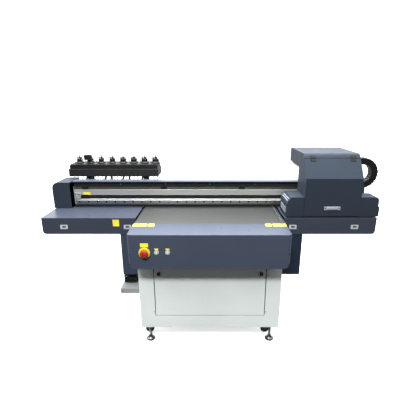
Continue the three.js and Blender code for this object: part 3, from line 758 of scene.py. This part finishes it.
def make_gantry():
    refine("gantry_frame", NAVY, 1.2)
    for side in ("left", "right"):
        refine(f"wing_{side}", WING_SLATE, 1.4, 3, 28)
        # The side covers are one part; the right one takes the darker navy as painted shade from the wing
        # above it.
        refine(f"side_cover_{side}", NAVY if side == "right" else STEEL_BLUE, 1.2)
        refine(f"lift_column_{side}", UPRIGHT, 2)
    _, (wy0, wy1), (wz0, _) = span("wing_right")
    trim = Kit()
    z = WING_LABEL_Z
    for x in (-902, -510, 512, 893):
        trim.plate(around(x, 23), around(z, 14), 4, (wy0 - 1.6, wy0), 0)
        trim.plate((x - 11, x + 12), (z - 4, z + 8), 1.5, (wy0 - 2.6, wy0 - 1.5), 5)
        trim.box((x - 9, x + 2), (wy0 - 3.0, wy0 - 2.5), (z - 1, z + 5), 2)
    trim.plate((-599.5, -560.5), (wz0 + 52, wz0 + 95), 2, (wy0 - 0.5, wy0 + 0.2), 3)
    for name, side in SIDES:
        for y in (wy0 + 60, wy1 - 60):
            edge = end_of(span(f"wing_{name}")[0], side)
            trim.socket_screw((edge, y, wz0 + 60), "x", 4.5, 2.4, side, 4, 1)
        cover_x, (cy0, cy1), (cz0, cz1) = span(f"side_cover_{name}")
        for y in (cy0 + 40, cy1 - 40):
            for z in (cz0 + 30, cz1 - 30):
                trim.socket_screw((end_of(cover_x, side), y, z), "x", 4.5, 2.4, side, 4, 1)
    trim.make("wing_trim", "gantry", [PLATE_GREY, DARK, CHARCOAL, YELLOW, SCREW, GREY_WHEEL],
              "slate_paint", 0.3)

    node = "capping_station"
    (x0, x1), (y0, y1), (z0, z1) = span(node)
    caps = Kit()
    tray, ym = 780, middle((y0, y1))
    caps.box((x0, x1), (y0, y1), (z0, tray), 0)
    caps.box((x0 + 3, x1 - 3), (y0 + 3, y1 - 3), (tray, tray + 5), 2)
    for i in range(3):
        a = x0 + 18 + i * 68
        for lo, hi in ((y0 + 18, ym - 4), (ym + 4, y1 - 18)):
            outer = rounded_rect((a, lo), (a + 48, hi), 6)
            inner = rounded_rect((a + 4, lo + 4), (a + 44, hi - 4), 4)
            levels = ((tray + 4, outer), (z1, outer), (z1, inner), (tray + 10, inner))
            caps.skin([[(x, y, z) for x, y in outline] for z, outline in levels], 1)
    stand_for(caps, node, [CHARCOAL, RUBBER, GROUND], 0.6)


# ---- beam ----
def make_beam():
    (x0, x1), (y0, y1), (z0, z1) = span("beam")
    section = [(y0, z0 + 3), (y0 + 3, z0), (y1 - 3, z0), (y1, z0 + 3)]
    for z in (z0 + 34, z1 - 40):
        section += [(y1, z - 5), (y1 - 5, z - 5), (y1 - 5, z - 10), (y1 - 14, z - 10), (y1 - 14, z + 10),
                    (y1 - 5, z + 10), (y1 - 5, z + 5), (y1, z + 5)]
    section += [(y1, z1 - 3), (y1 - 3, z1), (y0 + 1, z1), (y0, z1 - 1), (y0, z1 - 20), (y0 - 1, z1 - 20.5),
                (y0 - 1, z1 - 38), (y0, z1 - 39), (y0, z1 - 57), (y0 + 2, z1 - 60), (y0 + 26, z1 - 60),
                (y0 + 26, z0 + 42), (y0 + 2, z0 + 42), (y0, z0 + 39.5)]
    beam = Kit()
    beam.prism(section, "x", (x0, x1))
    stand_for(beam, "beam", [ALUMINIUM], 0.5)

    (rx0, rx1), (ry0, ry1), (rz0, rz1) = span("x_guide_rail")
    rail = Kit()
    zm = middle((rz0, rz1))
    rail.prism([(ry0 + 1, rz0), (ry0 + 3.5, rz0), (ry0 + 6, rz0 + 3), (ry0 + 8.5, rz0), (ry1, rz0),
                (ry1, rz1), (ry0 + 8.5, rz1), (ry0 + 6, rz1 - 3), (ry0 + 3.5, rz1), (ry0 + 1, rz1),
                (ry0, rz1 - 1), (ry0, rz0 + 1)], "x", (rx0, rx1))
    # A dark disc in a ground ring at each hole paints the shade inside the rail's counterbores.
    for x in every(rx0 + 25, rx1 - 10, RAIL_PITCH):
        rail.lathe(disc(5.4, 0.05, -0.15), (x, ry0, zm), "y", 20, 1)
        rail.lathe([(5.4, -0.15), (6.2, -0.15), (6.2, 0.05), (5.4, 0.05)], (x, ry0, zm), "y", 20, 2)
    stand_for(rail, "x_guide_rail", [RAIL, DARK, GROUND], 0.3)

    (bx0, bx1), (by0, by1), (bz0, bz1) = span("x_belt")
    belt = Kit()
    belt.box((bx0, bx1), (by0 + 1.5, by1), (bz0, bz1))
    for x in every(bx0 + 5, bx1 - 5, 8):
        belt.box((x, x + 4), (by0, by0 + 2), (bz0, bz1))
    stand_for(belt, "x_belt", [DARK])

    refine("beam_top_cover", SLATE, 0.8)
    refine("x_chain_trough", ALUMINIUM, 0.4)
    for side in ("left", "right"):
        refine(f"end_cap_{side}", DEEP_SLATE, 1.6, 3, 28)

    detail = Kit()
    cover_top = span("beam_top_cover")[2][1]
    whole = (x0 + 2, x1 - 2)
    # A black strip behind the beam's top paints the shade in the recess under the top cover; small screws sit
    # on it.
    detail.box(whole, (y0 + 12, y0 + 20), (z1 + 0.3, cover_top - 6.4), 0)
    for x in range(-600, 601, 300):
        detail.socket_screw((x, y0 + 12, z1 + 14), "y", 2.6, 1.6, -1, 3, 0)
    # Along the top of the beam face, a black band and a darker grey strip under it paint the shade below the
    # top cover's lip.
    detail.box(whole, (y0 - 0.5, y0 + 1), (z1 - 19.5, z1 - 5.5), 6)
    detail.box(whole, (y0 - 0.4, y0 + 12), (z1 - 5, z1 + 0.9), 0)
    # Black sheets at the back and bottom of the beam's channel paint the shade inside it.
    detail.box(whole, (y0 + 22, y0 + 27), (z0 + 42.5, z1 - 60.5), 0)
    detail.box(whole, (y0 + 1, y0 + 26), (z0 + 41.5, z0 + 43), 0)
    step = -530  # the strip under the beam paints the beam's shadow on the table: navy where it stands further back, to the left of this, and black to the right
    detail.box((x0 + 3, step), (y0 + 11, y0 + 26), (z0 - 13.5, z0 + 0.5), 5)
    detail.box((step, x1 - 3), (y0 + 5, y0 + 26), (z0 - 13.5, z0 + 0.5), 0)
    for x in (-836, -310, 212):
        detail.plate(around(x, 21), (z1 - 15, z1 + 0.2), 4, (y0 - 6, y0 - 2.6), 1)
        detail.box(around(x, 18), (y0 - 6, y0 + 14), (z1, z1 + 3), 1)
    left = -x1
    detail.plate((left + 62, left + 112), (z0 + 69, z0 + 89), 1.5, (y0 - 0.5, y0 + 0.2), 2)
    # idler bracket and pulley at the left end, drive pulley at the right end
    for x in (left + 24, x1 - 24):
        detail.plate((x - 20, x + 22), (z0 + 44, z0 + 84), 5, (y0 - 9, y0 - 1), 3)
        detail.lathe([(0, 0), (13, 0), (13, 1.5), (11, 1.5), (11, 13), (13, 13), (13, 14.5), (0, 14.5)],
                     (x, y0 + 6, z0 + 46.5), "z", 28, 4)
        for screw_x in (x - 10, x + 12):
            detail.socket_screw((screw_x, y0 - 9, z0 + 74), "y", 4, 3, -1, 4, 0)
        detail.plate((x + 26, x + 74), (z0 + 47, z0 + 59), 2, (y0 - 3, y0 + 4), 1)
    for name, side in SIDES:
        cap_x, cap_y, cap_z = span(f"end_cap_{name}")
        outer, inner = end_of(cap_x, side), end_of(cap_x, -side)
        detail.box(sorted((inner + side * 0.4, inner + side * 3)), (cap_y[0] + 3.4, cap_y[1] - 3.4),
                   (cap_z[0] + 0.4, cap_z[1] - 11), 5)
        for y in (cap_y[0] + 30, cap_y[1] - 30):
            detail.socket_screw((outer, y, cap_z[0] + 40), "x", 4.5, 2.4, side, 4, 0)
    detail.make("beam_fittings", "beam", [DARK, BLACK, YELLOW, ALUMINIUM, SCREW, NAVY, LIP_SHADE],
                "black_plastic", 0.3)


# ---- energy chains ----
def add_link(kit, matrix, pitch, high, wide, outside):
    """One link: two side plates with rounded ends, a top bar and a bottom bar."""
    reach = pitch * 0.62
    plate = rounded_rect((-reach, -high / 2), (reach, high / 2), min(high * 0.2, reach * 0.5), 3)
    inset = 0 if outside else 2.2
    face = wide / 2 - inset
    for s in (-1, 1):
        kit.prism(plate, "y", (s * (face - 2.2), s * face), 0, matrix)
    bar, thick = pitch * 0.3, 3
    for low in (-high / 2, high / 2 - thick):
        outline = rounded_rect((-bar, low), (bar, low + thick), 1.2, 2)
        kit.prism(outline, "y", (-wide / 2 + 4, wide / 2 - 4), 0, matrix)
    for s in (-1, 1):
        kit.prism(circle(0, 0, 4.5, 10), "y", (s * face, s * (face + 0.8)), 0, matrix)


def chain(kit, places, pitch, high, wide, across, first=0):
    """Links at (point, direction) places. across is the direction of the chain's width."""
    for i, (point, along) in enumerate(places):
        x = Vector(along).normalized()
        y = Vector(across)
        z = x.cross(y)
        rotation = Matrix((x, y, z)).transposed().to_4x4()
        add_link(kit, Matrix.Translation(point) @ rotation, pitch, high, wide, (i + first) % 2 == 0)


def chain_cables(kit, path, across, wide):
    for offset, radius in ((-0.28, 5.5), (-0.02, 4.2), (0.2, 6.0)):
        shift = Vector(across) * wide * offset
        kit.tube([Vector(p) + shift for p in path], radius, 8, 1)


def straight(a, b, count):
    """Places of count links from a to b, and the path through their joints."""
    a, b = Vector(a), Vector(b)
    places = [(a + (b - a) * (i + 0.5) / count, b - a) for i in range(count)]
    return places, [a + (b - a) * i / count for i in range(count + 1)]


def make_chain(key, axis, turn, count, bevel, bodies, cables_in_loop):
    """An energy chain along axis: a loop, and two runs that lie towards its side turn, -1 or 1."""
    loop_box, upper_z = span(f"{key}_loop"), span(f"{key}_upper_run")[2]
    other = 1 - axis
    bend = end_of(loop_box[axis], turn)
    high, wide = upper_z[1] - upper_z[0], loop_box[other][1] - loop_box[other][0]
    mid, zc = middle(loop_box[other]), middle(loop_box[2])
    radius = (loop_box[2][1] - loop_box[2][0]) / 2 - high / 2
    pitch = math.pi * radius / count
    across = (0, 1, 0) if axis == 0 else (1, 0, 0)

    def place(along, up, side=mid):
        return (along, side, up) if axis == 0 else (side, along, up)

    def round_bend(steps, offset=0.0):
        return [90 + turn * 180 * (i + offset) / steps for i in range(steps + (offset == 0))]

    loop = Kit()
    links = []
    for degrees in round_bend(count, 0.5):
        c, s = polar(1, degrees)
        links.append((place(*polar(radius, degrees, (bend, zc))), place(-turn * s, turn * c, 0)))
    chain(loop, links, pitch, high, wide, across, 1)
    if cables_in_loop:
        chain_cables(loop, [place(*polar(radius, d, (bend, zc))) for d in round_bend(24)], across, wide)
    stand_for(loop, f"{key}_loop", [BLACK, TUBING], bevel)
    for level, z in (("upper", zc + radius), ("lower", zc - radius)):
        node = f"{key}_{level}_run"
        far = end_of(span(node)[axis], turn)
        length = span(node)[axis][1] - span(node)[axis][0]
        run = Kit()
        links, path = straight(place(min(far, bend), z), place(max(far, bend), z), round(length / pitch))
        chain(run, links, pitch, high, wide, across)
        chain_cables(run, path, across, wide)
        # the loop's end of a run moves half as far as its driven end, so these ends would put a blend's
        # middle there; make() only bakes the run in place and sets up no blend
        ends = [place(2 * bend - far, z), place(far, z)]
        if level == "lower":
            ends.reverse()
        ends = (tuple(DATUM + Vector(p) * 0.001) for p in ends)
        stand_for(run, node, [BLACK, TUBING], bevel, blend=(*bodies, *ends))


# ---- ink rack ----
BOTTLES = 8
SHOULDER = 1061  # height of the block's top


def make_ink_rack():
    refine("ink_rack", CHARCOAL, 2.5)
    (x0, x1), (y0, y1), (z0, _) = span("ink_tank_block")
    rng = random.Random(7)
    bank = Kit()
    bank.prism(rounded_rect((x0, y0), (x1, y1), 6), "z", (z0, SHOULDER - 9), 0)
    bank.prism(rounded_rect((x0 + 3, y0 + 3), (x1 - 3, y1 - 3), 8), "z", (SHOULDER - 9, SHOULDER), 0)
    first, pitch = x0 + 53, (x1 - x0 - 75) / (BOTTLES - 1)
    ym = middle((y0, y1))
    for i in range(BOTTLES):
        bottle(bank, first + i * pitch, ym - 8, SHOULDER, rng)
    bx = first + pitch * 0.85
    bank.prism(rounded_rect((bx - 26, ym - 40), (bx + 24, ym - 4), 4), "z", (SHOULDER + 26, SHOULDER + 62), 1)
    bank.rod((bx, ym - 22, SHOULDER), (bx, ym - 22, SHOULDER + 28), 9, 16, 1)
    stand_for(bank, "ink_tank_block", [BLACK, BLACK, TUBING, CHARCOAL], 0.8)

    plumbing = Kit()
    for i in range(22):
        cx = x0 + 22 + i * pitch * 0.36 + rng.uniform(-6, 6)
        low = rng.uniform(-16, 16)
        plumbing.tube(smooth_path([(cx, y0 + 30, 974), (cx + low * 0.4, y0 + 22, 950),
                                   (cx + low, y0 + 20, 915), (cx + low * 1.3, y0 + 14, 862)]), 2.2, 8)
    for x in (-905, -770, -640, -500):
        plumbing.prism([(y0 + 12, 973), (y0 + 34, 973), (y0 - 96, 905), (y0 - 104, 914)], "x", (x, x + 12), 1)
        upright = [(y0 + 16, 973), (y0 + 26, 973), (y0 + 26, 850), (y0 + 16, 850)]
        plumbing.prism(upright, "x", (x + 40, x + 52), 1)
    plumbing.make("rack_braces_and_tubes", "beam", [TUBING, CHARCOAL], "black_plastic", 0.5)


def bottle(kit, x, y, z, rng):
    """Round bottle top with a ribbed screw cap, an air filter, two elbows and three tubes."""
    at = (x, y, 0)
    kit.lathe([(0, z - 2), (31, z - 2), (31, z + 4), (27, z + 10), (22, z + 13), (0, z + 13)], at, "z", 32, 1)
    kit.lathe([(0, z + 12), (20, z + 12), (20.5, z + 14), (20.5, z + 29), (18.5, z + 32), (0, z + 33)],
              at, "z", 32, 1)
    kit.ribs(24, 20.4, (x, y), (z + 14, z + 29), 0.9, "z", 6, 1)
    kit.lathe([(0, z + 32), (6, z + 32), (6, z + 38), (9, z + 39), (9, z + 43), (4.5, z + 46), (3.2, z + 57),
               (1.6, z + 60), (0, z + 60)], (x + 2, y, 0), "z", 16, 1)
    for s in (-1, 1):
        h = rng.uniform(-3, 4)
        kit.lathe([(0, z + 30), (5, z + 30), (5, z + 36 + h), (3.4, z + 38 + h), (0, z + 38 + h)],
                  (x + s * 11, y - 6, 0), "z", 12, 1)
        reach = rng.uniform(24, 31)
        route = ((11, 6, 35 + h), (14, 8, 43 + h), (21, 12, 44 + h), (reach, 18, 32), (reach + 2, 26, 12),
                 (reach - 1, 30, -4))
        kit.tube(smooth_path([(x + s * out, y - fore, z + up) for out, fore, up in route]), 3.0, 10, 2)
    route = ((4, 8, 30), (10, 14, 42), (22, 20, 34), (28, 26, 8), (28, 30, -4))
    kit.tube(smooth_path([(x - out, y + aft, z + up) for out, aft, up in route]), 3.0, 10, 2)


# ---- carriage ----
COVER_SLOPE = (99, 137)  # back and up
LEAF = 3.0  # thickness of a hinge leaf
HANDLE_Z = 867


def make_carriage():
    refine("carriage_cover", DEEP_SLATE, 1.3, 3, 28)
    refine("carriage_door", DEEP_SLATE, 0.9, 3, 20)
    refine("carriage_plate", ALUMINIUM, 0.8)
    refine("print_heads", CHARCOAL, 0.8)
    for side in ("left", "right"):
        refine(f"lamp_housing_{side}", DEEP_SLATE, 1.6, 3, 28)

    (dx0, dx1), (dy0, dy1), (_, dz1) = span("carriage_door")
    slope = Vector((0, *COVER_SLOPE)).normalized()
    normal = Vector((0, -slope.z, slope.y))
    seam = Vector((0, dy1 - 2.4, dz1))
    hinges_cover, hinges_door = Kit(), Kit()
    for x in (dx0 + 52, dx1 - 46):
        for kit, a, b in ((hinges_cover, 5.5, 19), (hinges_door, -19, -5.5)):
            low, high = seam + slope * a, seam + slope * b
            leaf = (low, high, high + normal * LEAF, low + normal * LEAF)
            kit.prism([(c.y, c.z) for c in leaf], "x", around(x, 17))
        for k, kit in ((-1, hinges_door), (0, hinges_cover), (1, hinges_door)):
            knuckle = around(x + k * 11.4, 5.4)
            kit.rod(*((end, seam.y, seam.z) for end in knuckle), 4.6, 20)
        for kit, s in ((hinges_cover, 12.5), (hinges_door, -12.5)):
            foot = seam + slope * s + normal * LEAF
            tip = foot + normal * 1.2
            for k in (-10, 10):
                kit.rod((x + k, foot.y, foot.z), (x + k, tip.y, tip.z), 3.0, 14, 1)
    hinges_cover.make("hinge_leaves_cover", "carriage", [DARK, BLACK], "black_plastic", 0.5)
    hinges_door.make("hinge_leaves_door", "carriage_door", [DARK, BLACK], "black_plastic", 0.5)

    hx, hz = middle((dx0, dx1)), HANDLE_Z
    handle = Kit()
    handle.plate(around(hx, 49), around(hz, 11), 3, (dy0 - 4, dy0 + 0.2), 0)
    handle.plate(around(hx, 33), (hz - 5, hz + 8), 3, (dy0 - 9, dy0 - 4), 0)
    for s in (-1, 1):
        handle.socket_screw((hx + s * 42, dy0 - 4, hz), "y", 3.4, 1.4, -1, 1, 1)
    handle.make("door_handle", "carriage_door", [HANDLE, CHARCOAL, SCREW], "bright_steel", 0.6)

    (cx0, cx1), (cy0, cy1), (cz0, cz1) = span("carriage_cover")
    trim = Kit()
    trim.socket_screw((hx, dy0 + 110, cz1), "z", 5, 2.6, 1, 1, 2)
    for x, side in ((cx0, -1), (cx1, 1)):
        for y, z in ((dy1 + 12, cz1 - 22), (cy0 + 150, cz0 + 190), (cy1 - 40, cz1 - 30)):
            trim.socket_screw((x, y, z), "x", 4.2, 2.2, side, 1, 2)
    for x in (cx0 + 70, cx1 - 70):
        trim.socket_screw((x, cy1, cz1 - 30), "y", 4.2, 2.2, 1, 1, 2)

    (lx0, _), (ly0, ly1), (_, lz1) = span("lamp_housing_left")
    for i in range(3):
        z = lz1 - 74 - i * 14
        trim.box((lx0 - 2.2, lx0 + 0.5), (ly0 + 22, ly1 - 22), (z, z + 4.5), 3)
        # a dark strip under each slat paints the shade in its slot
        trim.box((lx0 - 0.3, lx0 + 0.5), (ly0 + 22, ly1 - 22), (z - 5.5, z), 2)
    a, b = Vector((lx0 + 3, 0, lz1 - 34)), Vector((lx0 + 25, 0, lz1))
    along = (b - a).normalized()
    out = Vector((-along.z, 0, along.x))
    for t in (0.2, 0.5):
        p = a + (b - a) * t
        q = [p, p + along * 5, p + along * 5 + out * 1.6, p + out * 1.6]
        trim.prism([(c.x, c.z) for c in q], "y", (ly0 + 18, ly1 - 18), 3)
    (_, rx1), (ry0, _), (rz0, _) = span("lamp_housing_right")
    trim.prism(rounded_rect((ry0 + 3, rz0 + 1), (ry0 + 93, rz0 + 62), 4), "x", (rx1 - 0.2, rx1 + 9), 4)
    # A black strip low along the lamps and the carriage paints the shade in the gap above the wing.
    trim.box((lx0 + 8, rx1 - 12), (ly0 + 3, ly0 + 8), (807.6, 813), 4)
    for ring in range(3):
        radius = 8 + 7 * ring
        trim.lathe(flat_ring(radius, 1.2, 9, 11),
                   (rx1, ry0 + 48, rz0 + 32), "x", 32, 4)
    trim.make("carriage_trim", "carriage", [DEEP_SLATE, SCREW, DARK, HANDLE, BLACK], "slate_paint", 0.3)

    inside = Kit()
    for i in range(3):
        for j in range(2):
            x, y = 650 + i * 92, 355 + j * 75
            ribbon = [(x, y, 889), (x, y + 4, 930), (x + 12, y + 40, 965), (x + 20, 470, 985)]
            inside.tube(smooth_path(ribbon), 3, 8, 1)
            inside.box(around(x, 18), around(y, 22), (890.2, 904), 2)
    inside.box((612, 888), (455, 483), (930, 990), 0)
    inside.make("head_ribbons_and_tubes", "carriage", [BLACK, TUBING, WHITE], "black_plastic", 0.5)


# ---- studio ----
def area_light(name, place, target, size, power):
    data = bpy.data.lights.new(name, "AREA")
    data.shape = "RECTANGLE"
    data.size, data.size_y = size
    data.energy = power
    lamp = bpy.data.objects.new(name, data)
    bpy.context.scene.collection.objects.link(lamp)
    lamp.location = place
    lamp.rotation_euler = (Vector(target) - Vector(place)).to_track_quat("-Z", "Y").to_euler()


def make_world():
    """Surround: bright overhead, white straight behind the machine, dim beside and in front of it."""
    world = bpy.data.worlds.new("studio")
    world.use_nodes = True
    tree = world.node_tree
    toward = tree.nodes.new("ShaderNodeTexCoord").outputs["Generated"]
    levels = []
    for axis, start, end, low, high in (((0, 1, 0), -0.6, -0.1, 0.12, 0.3), ((0, 1, 0), 0.62, 0.83, 0, 0.76),
                                        ((0, 0.3, 0.954), 0.42, 0.6, 0, 3.2)):
        dot = tree.nodes.new("ShaderNodeVectorMath")
        dot.operation = "DOT_PRODUCT"
        dot.inputs[1].default_value = axis
        tree.links.new(toward, dot.inputs[0])
        level = tree.nodes.new("ShaderNodeMapRange")
        for key, value in (("From Min", start), ("From Max", end), ("To Min", low), ("To Max", high)):
            level.inputs[key].default_value = value
        tree.links.new(dot.outputs["Value"], level.inputs["Value"])
        levels.append(level.outputs["Result"])
    total = levels[0]
    for level in levels[1:]:
        add = tree.nodes.new("ShaderNodeMath")
        add.operation = "ADD"
        tree.links.new(total, add.inputs[0])
        tree.links.new(level, add.inputs[1])
        total = add.outputs[0]
    tree.links.new(total, tree.nodes["Background"].inputs["Strength"])
    tree.nodes["Background"].inputs["Color"].default_value = (1, 1, 1, 1)
    bpy.context.scene.world = world


def make_studio():
    floor_mesh = bpy.data.meshes.new("studio_floor")
    reach = 14
    corners = [(-reach, -reach, 0), (reach, -reach, 0), (reach, reach, 0), (-reach, reach, 0)]
    floor_mesh.from_pydata(corners, [], [(0, 1, 2, 3)])
    floor = bpy.data.objects.new("studio_floor", floor_mesh)
    bpy.context.scene.collection.objects.link(floor)
    n = Nodes("studio_floor", specular=0.05)
    floor.visible_diffuse = False
    floor.visible_glossy = False
    pale = (0.56, 0.56, 0.56, 1)
    n.colour(n.ramp(n.noise(0.7, 2), [(0.3, shade(pale, 0.985)), (0.7, pale)]))
    n.roughness(n.spread(n.noise(4, 2), 0.85, 0.9))
    n.shader.inputs["Emission Color"].default_value = (1, 1, 1, 1)
    n.shader.inputs["Emission Strength"].default_value = 0.6
    floor_mesh.materials.append(n.material)
    make_world()
    area_light("key_softbox", (-0.6, -3.9, 3.9), (0, 0, 0.5), (1.5, 0.5), 245)
    area_light("top_softbox", (0, 0.0, 3.0), (0, 0.1, 0.5), (2.8, 0.6), 140)
    area_light("left_softbox", (-3.6, 0.4, 2.2), (0.3, 0.2, 0.9), (2.0, 2.0), 70)
    bpy.context.scene.view_settings.view_transform = "Standard"


make_studio()
make_cabinet()
make_feet()
make_casters()
make_fascia()
make_table()
make_gantry()
make_beam()
make_chain("x_chain", 0, -1, 12, 0.5, ("beam", "carriage"), True)
make_chain("y_chain", 1, 1, 5, 0.4, ("base", "gantry"), False)
make_ink_rack()
make_carriage()
